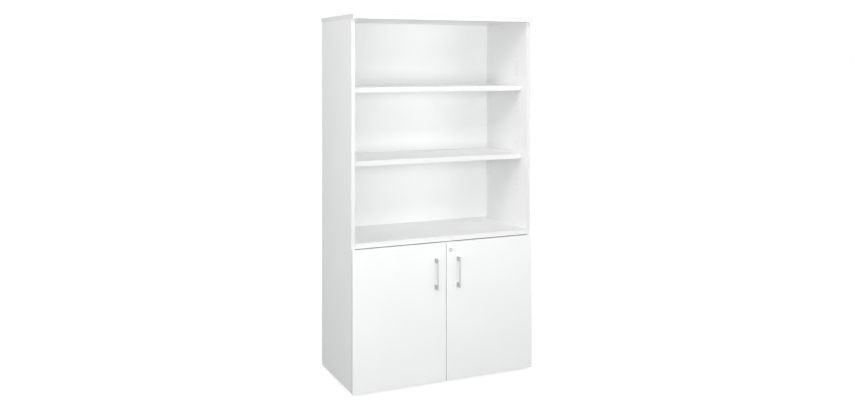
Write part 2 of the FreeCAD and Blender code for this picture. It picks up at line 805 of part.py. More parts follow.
def lock_cam():
    """The flat cam on the barrel's tail. At rest it points away from the doors' meeting edges."""
    body = lock_part("lock_cam")
    blade = new_sketch(body, "blade", "XZ", "-cam_plane")
    rectangle(blade, "-cam_width / 2", "cam_reach", "-cam_width / 2", "cam_width / 2")
    pad(blade, "cam_thickness", backwards=True)
    round_edges(body, all_of(runs_along("Y"), lies_at("X", "cam_reach")), "cam_corner")
    square = new_sketch(body, "square_hole", "XZ", "-cam_plane")
    half = "(tail_width + tail_fit) / 2"
    rectangle(square, f"-{half}", half, f"-{half}", half)
    pocket(square, "cam_thickness")
    return body


def lock_nut():
    """The hexagon nut that clamps the sleeve from the door's back."""
    body = lock_part("lock_nut")
    hexagon = new_sketch(body, "hexagon", "XZ", "-door_thickness")
    regular_polygon(hexagon, "0", "0", "nut_width", 6)
    pad(hexagon, "nut_thickness", backwards=True)
    bore = new_sketch(body, "bore", "XZ", "-door_thickness")
    circle(bore, "0", "0", "sleeve_diameter + sleeve_fit")
    pocket(bore, "nut_thickness")
    return body


def lock_keeper():
    """An angle under the divider. The cam turns up behind its front leg."""
    body = new_body("lock_keeper", "lock_offset", "carcass_front", "divider_underside")
    angle = new_sketch(body, "angle", "YZ")
    rear = "keeper_front + keeper_reach"
    corners = [("keeper_front", "0"), ("keeper_front", "-keeper_drop"), ("keeper_back", "-keeper_drop")]
    corners += [("keeper_back", "-keeper_thickness"), (rear, "-keeper_thickness"), (rear, "0")]
    polygon(angle, corners)
    pad(angle, "keeper_width", symmetric=True)
    return body


# ---------------------------------------------------------------- adjustable legs


def leg_axes():
    """X and depth of each leg's axis."""
    across = [f"{side} * (inner_half_width - leg_side_inset)" for side in (LEFT, RIGHT)]
    return [(x, line) for x in across for line in ("leg_front_inset", "back_line - leg_rear_inset")]


def square(sketch, x, y, width):
    rectangle(sketch, f"{x} - {width} / 2", f"{x} + {width} / 2", f"{y} - {width} / 2", f"{y} + {width} / 2")


def leg_sockets():
    """The legs' upper parts: a flange under the base panel and a tube with a bore for the foot's stem."""
    body = new_body("leg_sockets", "0", "carcass_front")
    flanges = new_sketch(body, "flanges", "XY", "base_underside")
    tubes = new_sketch(body, "tubes", "XY", "base_underside")
    bores = new_sketch(body, "bores", "XY", "base_underside - leg_tube_length")
    for x, line in leg_axes():
        square(flanges, x, line, "leg_flange_width")
        square(tubes, x, line, "leg_tube_width")
        small_round(bores, x, line, "leg_stem_diameter + leg_stem_fit")
    pad(flanges, "leg_flange_thickness", backwards=True)
    pad(tubes, "leg_tube_length", backwards=True)
    pocket(bores, "leg_tube_length - leg_flange_thickness", along_normal=True)
    return body


def leg_feet():
    """The legs' screwed feet: a round pad on the floor and a stem up into the socket."""
    body = new_body("leg_feet", "0", "carcass_front")
    pads = new_sketch(body, "pads", "XY")
    stems = new_sketch(body, "stems", "XY", "leg_pad_thickness")
    for x, line in leg_axes():
        circle(pads, x, line, "leg_pad_diameter")
        small_round(stems, x, line, "leg_stem_diameter")
    pad(pads, "leg_pad_thickness")
    pad(stems, "leg_stem_length")
    return body


# ---------------------------------------------------------------- the whole bookcase


def build_nodes():
    """Every separate piece or group of like pieces, each under the label that names its file."""
    nodes = [side_panel(LEFT), side_panel(RIGHT), top_panel()]
    nodes += [fixed_panel("divider_panel", "divider_underside"), fixed_panel("base_panel", "base_underside")]
    nodes += [plinth_rail(), back_panel(), dowels()]
    for level in ("upper", "middle", "cupboard"):
        nodes.append(adjustable_shelf(f"{level}_shelf", f"{level}_shelf_hole"))
        nodes.append(shelf_supports(f"{level}_shelf_supports", f"{level}_shelf_hole"))
    for side in (LEFT, RIGHT):
        nodes += [door(side), handle(side), handle_screws(side), door_bumpers(side), hinge_cups(side)]
        for level in ("lower", "upper"):
            nodes += [hinge_pin(side, level), hinge_arm(side, level), hinge_plate(side, level)]
    nodes += [lock_sleeve(), lock_barrel(), lock_cam(), lock_nut(), lock_keeper()]
    nodes += [leg_sockets(), leg_feet()]
    return nodes


def check_document(nodes):
    """Stops on a failed object, a cut that cut nothing, or a node without a sound shape."""
    DOCUMENT.recompute()
    for item in DOCUMENT.Objects:
        if "Invalid" in item.State or "Error" in item.State:
            raise RuntimeError(f"{item.Label} failed: {item.getStatusString()}")
    for cut in DOCUMENT.findObjects("PartDesign::Pocket"):
        if cut.Shape.Volume > cut.BaseFeature.Shape.Volume - 1e-3:
            raise RuntimeError(f"{cut.Label} cuts nothing")
    for node in nodes:
        if node.Shape.isNull() or not node.Shape.isValid() or not node.Shape.Solids:
            raise RuntimeError(f"{node.Label} has no valid solid")


def write_parts(nodes):
    os.makedirs("parts", exist_ok=True)
    for node in nodes:
        node.Shape.exportStep(os.path.join("parts", node.Label + ".step"))


fill_sheet()
NODES = build_nodes()
check_document(NODES)
write_parts(NODES)
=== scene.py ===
import json
import math

import bmesh
import bpy
from mathutils import Matrix, Vector


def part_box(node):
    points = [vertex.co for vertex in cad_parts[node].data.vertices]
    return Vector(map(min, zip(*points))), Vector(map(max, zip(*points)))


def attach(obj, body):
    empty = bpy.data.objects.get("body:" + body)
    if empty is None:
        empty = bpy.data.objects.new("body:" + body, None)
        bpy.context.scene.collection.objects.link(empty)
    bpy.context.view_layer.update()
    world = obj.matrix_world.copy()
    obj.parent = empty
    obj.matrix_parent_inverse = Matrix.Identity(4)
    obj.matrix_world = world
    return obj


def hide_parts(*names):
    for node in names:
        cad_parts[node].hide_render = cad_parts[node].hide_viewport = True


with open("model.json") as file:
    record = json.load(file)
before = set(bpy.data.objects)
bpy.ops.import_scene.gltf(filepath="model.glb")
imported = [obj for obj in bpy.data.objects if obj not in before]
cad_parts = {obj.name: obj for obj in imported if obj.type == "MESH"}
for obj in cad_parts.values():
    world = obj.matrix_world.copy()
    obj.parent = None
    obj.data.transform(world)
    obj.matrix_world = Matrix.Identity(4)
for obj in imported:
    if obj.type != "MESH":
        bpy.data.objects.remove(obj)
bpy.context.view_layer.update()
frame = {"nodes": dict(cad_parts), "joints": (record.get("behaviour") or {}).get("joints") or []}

# ---------------------------------------------------------------- sizes of the fittings, in metres

# from the carcass's front to the hinge plates' screws
SYSTEM_LINE = 0.037
PLATE_THICKNESS, PLATE_SCREW_OFFSET = 0.002, 0.016
ARM_RISE, ARM_SCREW_SPACING = 0.008, 0.017
CUP_RADIUS, CUP_EDGE = 0.0175, 0.003
FLANGE_THICKNESS, FLANGE_SCREW_INSET, FLANGE_SCREW_OFFSET = 0.001, 0.0095, 0.0225
HANDLE_SCREW_OFFSET = 0.064
KEEPER_THICKNESS, KEEPER_SCREW_INSET, KEEPER_SCREW_OFFSET = 0.002, 0.01725, 0.009
BACK_SCREW_REACH, BACK_SCREW_COUNT = 0.42, 7
LEG_HALF_FLANGE, LEG_FLANGE_THICKNESS, LEG_SCREW_OFFSET = 0.028, 0.003, 0.021
BUMPER_RADIUS, BUMPER_HEIGHT = 0.005, 0.0026
HEAD_SINK, RECESS_RISE = 0.0002, 0.0004
SCREW_TWIST = 0.7
LATHE_STEPS = 40

# ---------------------------------------------------------------- places, from the frame


def middle(node):
    """The middle of a node's box."""
    low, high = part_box(node)
    return [(a + b) / 2 for a, b in zip(low, high)]


joints = {joint["name"]: joint for joint in frame["joints"]}
side_low, side_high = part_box("right_side_panel")
leg_low, leg_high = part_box("leg_sockets")
bumper_low, bumper_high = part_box("right_door_bumpers")
CARCASS_FRONT, SIDE_FACE, DOOR_EDGE = side_low[1], side_low[0], side_high[0]
BACK_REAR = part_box("back_panel")[1][1]
DOOR_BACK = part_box("right_door")[1][1]
BASE_HEIGHT, DIVIDER_HEIGHT = middle("base_panel")[2], middle("divider_panel")[2]

HINGE_HEIGHTS = [middle(f"right_{level}_hinge_plate")[2] for level in ("lower", "upper")]
PLATE_LINE = CARCASS_FRONT + SYSTEM_LINE
PLATE_FACE = SIDE_FACE - PLATE_THICKNESS
ARM_CROWN = PLATE_FACE - ARM_RISE
FLANGE_SCREW_X = DOOR_EDGE - CUP_EDGE - CUP_RADIUS - FLANGE_SCREW_INSET
FLANGE_FACE = DOOR_BACK + FLANGE_THICKNESS

HANDLE_X, _, HANDLE_HEIGHT = middle("right_handle")
LOCK_X, _, LOCK_HEIGHT = joints["lock_turn"]["pos_m"]
CAM_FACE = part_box("lock_cam")[1][1]
KEEPER_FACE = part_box("lock_keeper")[1][2] - KEEPER_THICKNESS
KEEPER_LINE = CARCASS_FRONT + KEEPER_SCREW_INSET
LEG_X = leg_high[0] - LEG_HALF_FLANGE
LEG_LINES = (leg_low[1] + LEG_HALF_FLANGE, leg_high[1] - LEG_HALF_FLANGE)
LEG_FLANGE_FACE = leg_high[2] - LEG_FLANGE_THICKNESS
BUMPER_LINES = (bumper_low[0] + BUMPER_RADIUS, bumper_high[0] - BUMPER_RADIUS)

# ---------------------------------------------------------------- tones

# the shelves' white is the same melamine made lighter: painted light that makes up for the shade on the top,
# divider, base and shelves
COOL_WHITE, PLAIN_WHITE, SHELF_WHITE_PAINTED_LIGHT = (0.888, 0.9, 0.894), (0.894, 0.895, 0.894), (0.925, 0.926, 0.925)
SPECK_GREY, GLUE_GREY = (0.78, 0.8, 0.8), (0.5, 0.5, 0.48)
CHIP_TONES = [(0.0, (0.3, 0.22, 0.15)), (0.5, (0.5, 0.4, 0.29)), (1.0, (0.7, 0.6, 0.46))]
BEECH_TONES = [(0.25, (0.5, 0.33, 0.18)), (0.55, (0.68, 0.49, 0.3)), (0.8, (0.78, 0.6, 0.4))]
BEECH_FLECK = (0.42, 0.26, 0.14)
PAD_DARK, PAD_LIGHT = (0.62, 0.64, 0.62), (0.8, 0.82, 0.8)
FLOOR_TONE = (0.3, 0.3, 0.3)
# the edge bands' tones are painted light and shade: darker on the carcass's and shelves' bands as painted
# shade where the lamps fall hardest, lighter on the doors' bands as painted light in the gap between the
# doors
BAND_PAINTED_SHADE, DOOR_BAND_PAINTED_LIGHT = 0.84, 1.02
SKIN, BAND = 0.0008, 0.0011

# ---------------------------------------------------------------- stage and camera values

GLOW_NEAR, GLOW_FAR, GLOW_START, GLOW_END = 0.82, 1.0, 1.0, 3.5
FLOOR_REACH = 30.0
WORLD_LIGHT, WORLD_SEEN = 0.1, 1.0
LAMP_AIM = (0, 0, 1.25)
CAMERA_PLACE, CAMERA_TURN = (-1.918, -4.2302, 1.5627), -24.36
LENS, SENSOR_WIDTH, SHIFT = 38.207, 36.0, -0.16467

# ---------------------------------------------------------------- node helpers


class Nodes:
    """A short way to write a material's node tree."""

    def __init__(self, name):
        self.material = bpy.data.materials.new(name)
        self.material.use_nodes = True
        self.tree = self.material.node_tree
        self.shader = self.tree.nodes["Principled BSDF"]
        self.place = self.add("ShaderNodeTexCoord").outputs["Object"]

    def add(self, kind, **settings):
        node = self.tree.nodes.new(kind)
        for key, value in settings.items():
            setattr(node, key, value)
        return node

    def link(self, source, target):
        if isinstance(source, (int, float)):
            target.default_value = source
        elif isinstance(source, tuple):
            target.default_value = (*source, 1.0) if len(target.default_value) == 4 else source
        else:
            self.tree.links.new(source, target)

    def math(self, operation, a, b=0.0, clamp=False):
        node = self.add("ShaderNodeMath", operation=operation, use_clamp=clamp)
        self.link(a, node.inputs[0])
        self.link(b, node.inputs[1])
        return node.outputs[0]

    def axes(self):
        node = self.add("ShaderNodeSeparateXYZ")
        self.link(self.place, node.inputs[0])
        return node.outputs

    def scaled(self, scale, shift=(0, 0, 0)):
        node = self.add("ShaderNodeMapping")
        self.link(self.place, node.inputs["Vector"])
        node.inputs["Scale"].default_value = scale
        node.inputs["Location"].default_value = shift
        return node.outputs[0]

    def noise(self, scale, detail=2.0, rough=0.5, vector=None):
        node = self.add("ShaderNodeTexNoise")
        self.link(vector if vector is not None else self.place, node.inputs["Vector"])
        node.inputs["Scale"].default_value = scale
        node.inputs["Detail"].default_value = detail
        node.inputs["Roughness"].default_value = rough
        return node.outputs["Fac"]

    def cells(self, scale, vector=None):
        node = self.add("ShaderNodeTexVoronoi")
        self.link(vector if vector is not None else self.place, node.inputs["Vector"])
        node.inputs["Scale"].default_value = scale
        return node.outputs

    def span(self, value, low, high, from_low=0.0, from_high=1.0):
        node = self.add("ShaderNodeMapRange")
        self.link(value, node.inputs["Value"])
        limits = {"From Min": from_low, "From Max": from_high, "To Min": low, "To Max": high}
        for key, number in limits.items():
            node.inputs[key].default_value = number
        return node.outputs[0]

    def ramp(self, value, stops):
        node = self.add("ShaderNodeValToRGB")
        self.link(value, node.inputs[0])
        elements = node.color_ramp.elements
        while len(elements) < len(stops):
            elements.new(0.5)
        for element, (position, color) in zip(elements, stops):
            element.position = position
            element.color = (*color, 1.0)
        return node.outputs[0]

    def mix(self, factor, a, b):
        node = self.add("ShaderNodeMix", data_type="RGBA")
        self.link(factor, node.inputs["Factor"])
        self.link(a, node.inputs[6])
        self.link(b, node.inputs[7])
        return node.outputs[2]

    def bump(self, height, distance, strength=1.0, below=None):
        node = self.add("ShaderNodeBump")
        self.link(height, node.inputs["Height"])
        node.inputs["Distance"].default_value = distance
        node.inputs["Strength"].default_value = strength
        if below is not None:
            self.link(below, node.inputs["Normal"])
        return node.outputs[0]

    def finish(self, color, roughness, normal=None, **inputs):
        self.link(color, self.shader.inputs["Base Color"])
        self.link(roughness, self.shader.inputs["Roughness"])
        if normal is not None:
            self.link(normal, self.shader.inputs["Normal"])
        for key, value in inputs.items():
            self.shader.inputs[key.replace("_", " ")].default_value = value
        return self.material


# ---------------------------------------------------------------- materials


def seams_of(node, edges):
    """Glue lines for the named edges of a board, such as -y for its front edge."""
    low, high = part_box(node)
    found = []
    for edge in edges.split():
        axis = "xyz".index(edge[1])
        found.append((axis, low[axis] + BAND if edge[0] == "-" else high[axis] - BAND))
    return found


def board(node, edges, tint):
    """Melamine-faced chipboard: a fine pearl skin, banded edges with painted shade on the carcass and painted
    light on the doors, and bare chips in its holes and grooves.
    """
    n = Nodes(node + "_board")
    low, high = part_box(node)
    x, y, z = n.axes()

    # 1 inside the board, where a hole or groove bares the chips
    inside = 1.0
    for value, a, b in ((x, low[0], high[0]), (y, low[1], high[1]), (z, low[2], high[2])):
        inside = n.math("MULTIPLY", inside, n.math("GREATER_THAN", value, a + SKIN))
        inside = n.math("MULTIPLY", inside, n.math("LESS_THAN", value, b - SKIN))

    # the edge bands, and the glue line between each band and the face
    band, line = 0.0, 0.0
    for axis, at in seams_of(node, edges):
        beyond = "LESS_THAN" if at < (low[axis] + high[axis]) / 2 else "GREATER_THAN"
        band = n.math("MAXIMUM", band, n.math(beyond, (x, y, z)[axis], at))
        gap = n.math("ABSOLUTE", n.math("SUBTRACT", (x, y, z)[axis], at))
        line = n.math("MAXIMUM", line, n.span(gap, 1.0, 0.0, 0.00008, 0.00022))

    shift = (low[2] * 3.1, low[0] * 1.7, high[1] * 2.3)
    broad = n.noise(2.3, 2, 0.5, n.scaled((1, 1, 1), shift))
    speck = n.noise(1400, 2, 0.6)
    pearl = n.noise(620, 3, 0.55, n.scaled((1, 1, 1), shift))
    drawn = n.noise(28, 2, 0.5, n.scaled((1, 1, 0.4), shift))

    dark = tuple(c * 0.975 for c in tint)
    white = n.mix(n.span(broad, 0.0, 1.0, 0.3, 0.7), dark, tint)
    white = n.mix(n.span(speck, 0.0, 0.05, 0.55, 0.75), white, SPECK_GREY)
    # the bands' colour: painted shade on the carcass's and shelves' front edges, painted light on the doors'
    # edges
    band_painted_level = DOOR_BAND_PAINTED_LIGHT if node.endswith("_door") else BAND_PAINTED_SHADE
    white = n.mix(band, white, tuple(c * band_painted_level for c in tint))
    white = n.mix(n.math("MULTIPLY", line, 0.45), white, GLUE_GREY)
    chip = n.cells(330, n.scaled((1.0, 1.0, 2.2)))
    color = n.mix(inside, white, n.ramp(chip["Color"], CHIP_TONES))

    rough = n.math("ADD", n.span(drawn, 0.33, 0.43, 0.3, 0.7), n.span(pearl, -0.03, 0.05))
    rough = n.math("ADD", rough, n.math("MULTIPLY", inside, 0.4), clamp=True)
    ripple = n.bump(n.noise(11, 1, 0.4), 0.0006, 0.25)
    peel = n.bump(pearl, 0.00006, 0.7, ripple)
    cut = n.bump(n.math("MULTIPLY", line, -1.0), 0.0001, 0.6, peel)
    coarse = n.bump(n.math("MULTIPLY", chip["Distance"], inside), 0.0008, 0.8, cut)
    return n.finish(color, rough, coarse, Specular_IOR_Level=0.42)


def metal(name, color, rough, along, grain=1.0):
    """Plated or brushed metal, its grain drawn along one axis."""
    n = Nodes(name)
    scale = [1900, 1900, 1900]
    scale[along] = 26
    fine = n.noise(1.0, 3, 0.6, n.scaled(tuple(scale)))
    broad = n.noise(60, 2, 0.5)
    shade = tuple(c * 0.86 for c in color)
    tone = n.mix(n.span(fine, 0.0, 1.0, 0.32, 0.68), shade, color)
    tone = n.mix(n.span(broad, 0.0, 0.1, 0.4, 0.8), tone, tuple(c * 0.7 for c in color))
    roughness = n.math("ADD", n.span(fine, rough - 0.05, rough + 0.07, 0.3, 0.7), n.span(broad, -0.02, 0.04))
    normal = n.bump(fine, 0.00004 * grain, 0.6, n.bump(n.noise(900, 2, 0.5), 0.00002, 0.5))
    return n.finish(tone, roughness, normal, Metallic=1.0)


def turned_metal(name, color, rough, x0, z0):
    """Metal turned about an axis along Y, with rings round x0, z0."""
    n = Nodes(name)
    x, y, z = n.axes()
    dx, dz = n.math("SUBTRACT", x, x0), n.math("SUBTRACT", z, z0)
    radius = n.math("SQRT", n.math("ADD", n.math("MULTIPLY", dx, dx), n.math("MULTIPLY", dz, dz)))
    ring = n.add("ShaderNodeTexNoise", noise_dimensions="1D")
    n.link(n.math("ADD", radius, n.math("MULTIPLY", y, 0.7)), ring.inputs["W"])
    ring.inputs["Scale"].default_value = 2600
    ring.inputs["Detail"].default_value = 3
    rings = ring.outputs["Fac"]
    dull = n.noise(160, 3, 0.6)
    tone = n.mix(n.span(rings, 0.0, 1.0, 0.3, 0.7), tuple(c * 0.82 for c in color), color)
    tone = n.mix(n.span(dull, 0.0, 0.14, 0.45, 0.8), tone, tuple(c * 0.6 for c in color))
    roughness = n.math("ADD", n.span(rings, rough - 0.06, rough + 0.06, 0.3, 0.7), n.span(dull, -0.02, 0.05))
    return n.finish(tone, roughness, n.bump(rings, 0.00004, 0.5), Metallic=1.0)


def plastic(name, color, rough):
    """Moulded plastic with a fine spark-eroded grain and slight flow marks."""
    n = Nodes(name)
    cell = n.cells(1500)["Distance"]
    flow = n.noise(45, 3, 0.55, n.scaled((1, 1, 0.3)))
    light = tuple(min(1.0, c * 1.35 + 0.01) for c in color)
    tone = n.mix(n.span(flow, 0.0, 0.6, 0.35, 0.75), color, light)
    roughness = n.math("ADD", n.span(cell, rough - 0.05, rough + 0.08), n.span(flow, -0.05, 0.06))
    return n.finish(tone, roughness, n.bump(cell, 0.00005, 0.7, n.bump(flow, 0.0002, 0.3)))


def soft_pad(name):
    """Clear soft polymer: slightly yellowed, a little light passes through."""
    n = Nodes(name)
    cloud = n.noise(420, 3, 0.6)
    tone = n.mix(n.span(cloud, 0.0, 1.0, 0.3, 0.7), PAD_DARK, PAD_LIGHT)
    roughness = n.span(cloud, 0.22, 0.38, 0.3, 0.7)
    normal = n.bump(n.noise(1800, 2, 0.5), 0.00003, 0.5)
    return n.finish(tone, roughness, normal, Transmission_Weight=0.35, IOR=1.45)


def wood(name):
    """Beech, its grain drawn along the dowels' length."""
    n = Nodes(name)
    grain = n.noise(1.0, 4, 0.65, n.scaled((60, 900, 900)))
    fleck = n.cells(700, n.scaled((0.2, 1, 1)))["Distance"]
    tone = n.mix(n.span(fleck, 0.25, 0.0, 0.0, 0.25), n.ramp(grain, BEECH_TONES), BEECH_FLECK)
    return n.finish(tone, n.span(grain, 0.55, 0.72), n.bump(grain, 0.0001, 0.6))


def floor_material():
    """A pale matt floor that the camera and mirrors see as white, with the object's shadow kept on it."""
    n = Nodes("stage_floor")
    mottle = n.noise(3, 3, 0.5)
    tone = n.mix(n.span(mottle, 0.0, 1.0, 0.3, 0.7), tuple(c * 0.97 for c in FLOOR_TONE), FLOOR_TONE)
    n.finish(tone, 0.9, Specular_IOR_Level=0.1)

    path = n.add("ShaderNodeLightPath")
    seen = n.math("MAXIMUM", path.outputs["Is Camera Ray"], path.outputs["Is Glossy Ray"])
    seen = n.math("MAXIMUM", seen, path.outputs["Is Transmission Ray"])
    x, y, _ = n.axes()
    away = n.math("SQRT", n.math("ADD", n.math("MULTIPLY", x, x), n.math("MULTIPLY", y, y)))
    glow = n.add("ShaderNodeEmission")
    glow.inputs["Color"].default_value = (1, 1, 1, 1)
    strength = n.math("MULTIPLY", seen, n.span(away, GLOW_NEAR, GLOW_FAR, GLOW_START, GLOW_END))
    n.link(strength, glow.inputs["Strength"])
    joined = n.add("ShaderNodeAddShader")
    n.link(n.shader.outputs[0], joined.inputs[0])
    n.link(glow.outputs[0], joined.inputs[1])
    output = next(node for node in n.tree.nodes if node.type == "OUTPUT_MATERIAL")
    n.link(joined.outputs[0], output.inputs["Surface"])
    return n.material


# each board's banded edges and its white; the lighter white of the top, divider, base and shelves is painted
# light for the shade on them
BOARDS = {
    "left_side_panel": ("-y", COOL_WHITE),
    "right_side_panel": ("-y", PLAIN_WHITE),
    "top_panel": ("-y -x +x", SHELF_WHITE_PAINTED_LIGHT),
    "divider_panel": ("-y", SHELF_WHITE_PAINTED_LIGHT),
    "base_panel": ("-y", SHELF_WHITE_PAINTED_LIGHT),
    "plinth_rail": ("-z", PLAIN_WHITE),
    "back_panel": ("", COOL_WHITE),
    "upper_shelf": ("-y", SHELF_WHITE_PAINTED_LIGHT),
    "middle_shelf": ("-y", SHELF_WHITE_PAINTED_LIGHT),
    "cupboard_shelf": ("-y", SHELF_WHITE_PAINTED_LIGHT),
    "left_door": ("-x +x -z +z", COOL_WHITE),
    "right_door": ("-x +x -z +z", COOL_WHITE),
}


def give(node, material):
    """Puts a material on all of a CAD node."""
    for slot in frame["nodes"][node].material_slots:
        slot.link = "DATA"
        slot.material = material


for board_node, (banded_edges, white) in BOARDS.items():
    give(board_node, board(board_node, banded_edges, white))

handle_metal = metal("handle_satin_metal", (0.5, 0.505, 0.505), 0.36, 2)
hinge_steel = metal("hinge_nickel_steel", (0.66, 0.66, 0.65), 0.24, 2, 0.6)
# the shelf supports' steel is lighter than nickel: painted light that lifts them out of the shade under the
# shelves
support_steel_painted_light = metal("support_nickel_painted_light", (0.86, 0.86, 0.85), 0.42, 1, 0.8)
screw_steel = metal("screw_zinc_steel", (0.62, 0.63, 0.62), 0.3, 1, 0.8)
pin_steel = metal("pin_bright_steel", (0.58, 0.58, 0.59), 0.2, 2, 0.6)
zinc = metal("lock_zinc_plate", (0.6, 0.61, 0.6), 0.35, 0)
lock_nickel = turned_metal("lock_satin_nickel", (0.4, 0.4, 0.395), 0.32, LOCK_X, LOCK_HEIGHT)
lock_chrome = turned_metal("lock_bright_nickel", (0.78, 0.78, 0.77), 0.26, LOCK_X, LOCK_HEIGHT)
leg_plastic = plastic("leg_black_plastic", (0.02, 0.02, 0.022), 0.5)
pad_material = soft_pad("bumper_soft_pad")
beech = wood("dowel_beech")

# the endings of the fittings' node names, and their materials
FITTINGS = {
    "_handle": handle_metal,
    "_hinge_arm": hinge_steel,
    "_hinge_plate": hinge_steel,
    "_hinge_cups": hinge_steel,
    "_hinge_pin": pin_steel,
    "_shelf_supports": support_steel_painted_light,
    "_handle_screws": screw_steel,
    "lock_sleeve": lock_nickel,
    "lock_barrel": lock_chrome,
    "lock_cam": zinc,
    "lock_nut": zinc,
    "lock_keeper": zinc,
    "leg_sockets": leg_plastic,
    "leg_feet": leg_plastic,
    "_bumpers": pad_material,
    "dowels": beech,
}
for ending, material in FITTINGS.items():
    for node_name in frame["nodes"]:
        if node_name.endswith(ending):
            give(node_name, material)

# ---------------------------------------------------------------- small fasteners


def lathe(bm, profile):
    """Turns a profile of (radius, height) points about Z and closes it where the radius is 0."""
    rings = []
    for radius, height in profile:
        if radius == 0:
            rings.append([bm.verts.new((0, 0, height))])
        else:
            turns = [2 * math.pi * i / LATHE_STEPS for i in range(LATHE_STEPS)]
            rings.append([bm.verts.new((radius * math.cos(t), radius * math.sin(t), height)) for t in turns])
    for a, b in zip(rings, rings[1:]):
        for i in range(LATHE_STEPS):
            j = (i + 1) % LATHE_STEPS
            corners = [a[i % len(a)], a[j % len(a)], b[j % len(b)], b[i % len(b)]]
            unique = list(dict.fromkeys(corners))
            if len(unique) > 2:
                bm.faces.new(unique)


def cross_recess(size, depth):
    """A tapered four-armed cutter for a screw's driver recess, its mouth just above Z 0."""
    bm = bmesh.new()
    outline = []
    for quarter in range(4):
        turn = Matrix.Rotation(quarter * math.pi / 2, 3, "Z")
        for x, y in ((size * 0.2, size * 0.2), (size, size * 0.16), (size, -size * 0.16)):
            outline.append(turn @ Vector((x, y, 0)))
    outline = sorted(outline, key=lambda v: math.atan2(v.y, v.x))
    mouth = [bm.verts.new(v + Vector((0, 0, RECESS_RISE))) for v in outline]
    foot = [bm.verts.new(v * 0.45 + Vector((0, 0, -depth))) for v in outline]
    bm.faces.new(mouth)
    bm.faces.new(list(reversed(foot)))
    count = len(outline)
    for i in range(count):
        j = (i + 1) % count
        bm.faces.new((mouth[j], mouth[i], foot[i], foot[j]))
    bmesh.ops.recalc_face_normals(bm, faces=bm.faces)
    mesh = bpy.data.meshes.new("recess")
    bm.to_mesh(mesh)
    bm.free()
    return bpy.data.objects.new("recess", mesh)


def mesh_from(bm, name):
    """A smooth-shaded mesh from a bmesh, which is freed."""
    bmesh.ops.recalc_face_normals(bm, faces=bm.faces)
    mesh = bpy.data.meshes.new(name)
    bm.to_mesh(mesh)
    bm.free()
    for face in mesh.polygons:
        face.use_smooth = True
    return mesh


def screw_mesh(name, radius, height, recess):
    """A pan head with a rolled rim and a cross recess, sunk a little below Z 0."""
    bm = bmesh.new()
    profile = [(0, -HEAD_SINK), (radius * 0.94, -HEAD_SINK), (radius, height * 0.12), (radius, height * 0.42)]
    for i in range(1, 6):
        angle = math.radians(90 * i / 6)
        profile.append((radius * (0.62 + 0.38 * math.cos(angle)), height * (0.42 + 0.58 * math.sin(angle))))
    profile += [(radius * 0.62, height), (radius * 0.3, height * 1.02), (0, height * 1.02)]
    lathe(bm, profile)
    plain = bpy.data.objects.new(name + "_plain", mesh_from(bm, name + "_plain"))
    cutter = cross_recess(recess, height * 0.75)
    cutter.location.z = height
    scene = bpy.context.scene.collection
    scene.objects.link(plain)
    scene.objects.link(cutter)
    cut = plain.modifiers.new("cut", "BOOLEAN")
    cut.operation, cut.object, cut.solver = "DIFFERENCE", cutter, "EXACT"
    bpy.context.view_layer.update()
    shape = bpy.data.meshes.new_from_object(plain.evaluated_get(bpy.context.evaluated_depsgraph_get()))
    shape.name = name
    for leftover in (plain, cutter):
        bpy.data.objects.remove(leftover)
    return shape


# turns a head that faces +z towards another direction
TOWARDS = {
    "+y": Matrix.Rotation(math.radians(-90), 4, "X"),
    "+x": Matrix.Rotation(math.radians(90), 4, "Y"),
    "-x": Matrix.Rotation(math.radians(-90), 4, "Y"),
    "-z": Matrix.Rotation(math.radians(180), 4, "X"),
}


def seat(name, mesh, spots, facing, body, material, turn=0.0):
    """One piece with a copy of the mesh at each spot, its head facing one direction."""
    bm = bmesh.new()
    for i, spot in enumerate(spots):
        part = bmesh.new()
        part.from_mesh(mesh)
        twist = Matrix.Rotation(turn + i * SCREW_TWIST, 4, "Z")
        part.transform(Matrix.Translation(spot) @ TOWARDS[facing] @ twist)
        copy = bpy.data.meshes.new("copy")
        part.to_mesh(copy)
        bm.from_mesh(copy)
        part.free()
        bpy.data.meshes.remove(copy)
    made = bpy.data.meshes.new(name)
    bm.to_mesh(made)
    bm.free()
    made.materials.clear()
    made.materials.append(material)
    piece = bpy.data.objects.new(name, made)
    bpy.context.scene.collection.objects.link(piece)
    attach(piece, body)
    return piece


euro_head = screw_mesh("euro_head", radius=0.0045, height=0.0019, recess=0.0024)
cup_head = screw_mesh("cup_head", radius=0.0035, height=0.0014, recess=0.0019)
arm_head = screw_mesh("arm_head", radius=0.0037, height=0.0018, recess=0.002)
small_head = screw_mesh("small_head", radius=0.003, height=0.0013, recess=0.0017)
handle_head = screw_mesh("handle_head", radius=0.004, height=0.002, recess=0.0022)


def both(offset):
    """The two places at an offset on either side."""
    return (-offset, offset)


def screw_in(name, head, spots, facing, body, turn=0.0):
    """Zinc plated screws of one kind, with their heads on the spots."""
    return seat(name, head, spots, facing, body, screw_steel, turn)


